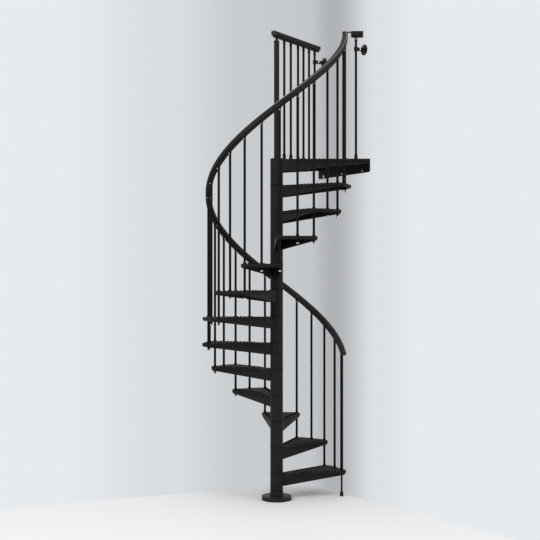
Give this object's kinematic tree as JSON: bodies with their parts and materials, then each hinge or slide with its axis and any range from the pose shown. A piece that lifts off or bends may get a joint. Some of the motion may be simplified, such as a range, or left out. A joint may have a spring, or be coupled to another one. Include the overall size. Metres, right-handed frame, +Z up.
{
  "type": "spiral staircase",
  "caption": "Steel spiral staircase with hub treads, balusters, helical handrail and a triangular wall landing.",
  "frame": {"origin": "centre of the base plate's underside, on the column's axis at floor level", "axes": "+Z up along the column, +X square to the wall that the landing is bolted to, pointing into that wall"},
  "size_m": [1.2247, 1.1859, 3.748],
  "materials": {
    "black_steel": "satin powder coat",
    "black_plastic": "satin moulded",
    "rail_pvc": "satin extruded"
  },
  "bodies": {
    "root": {"base_plate": "black_steel", "base_cover": "black_plastic", "column_collar": "black_plastic", "newel_post": "black_steel", "newel_cap": "black_plastic", "tread_bracket_01": "black_steel", "tread_bracket_02": "black_steel", "tread_bracket_03": "black_steel", "tread_bracket_04": "black_steel", "tread_bracket_05": "black_steel", "tread_bracket_06": "black_steel", "tread_bracket_07": "black_steel", "tread_bracket_08": "black_steel", "tread_bracket_09": "black_steel", "tread_bracket_10": "black_steel", "tread_bracket_11": "black_steel", "tread_bracket_12": "black_steel", "tread_plate_01": "black_steel", "tread_plate_02": "black_steel", "tread_plate_03": "black_steel", "tread_plate_04": "black_steel", "tread_plate_05": "black_steel", "tread_plate_06": "black_steel", "tread_plate_07": "black_steel", "tread_plate_08": "black_steel", "tread_plate_09": "black_steel", "tread_plate_10": "black_steel", "tread_plate_11": "black_steel", "tread_plate_12": "black_steel", "landing_bracket": "black_steel", "landing_plate": "black_steel", "landing_wall_plate": "black_steel", "mid_balusters": "black_steel", "corner_balusters": "black_steel", "landing_balusters": "black_steel", "landing_end_post": "black_steel", "baluster_bushes": "black_plastic", "start_baluster": "black_steel", "start_baluster_foot": "black_plastic", "spiral_handrail": "rail_pvc", "landing_handrail": "rail_pvc", "landing_end_rail": "rail_pvc", "rail_connector": "black_steel", "wall_anchor_front": "black_steel", "wall_anchor_rear": "black_steel"}
  },
  "joints": []
}
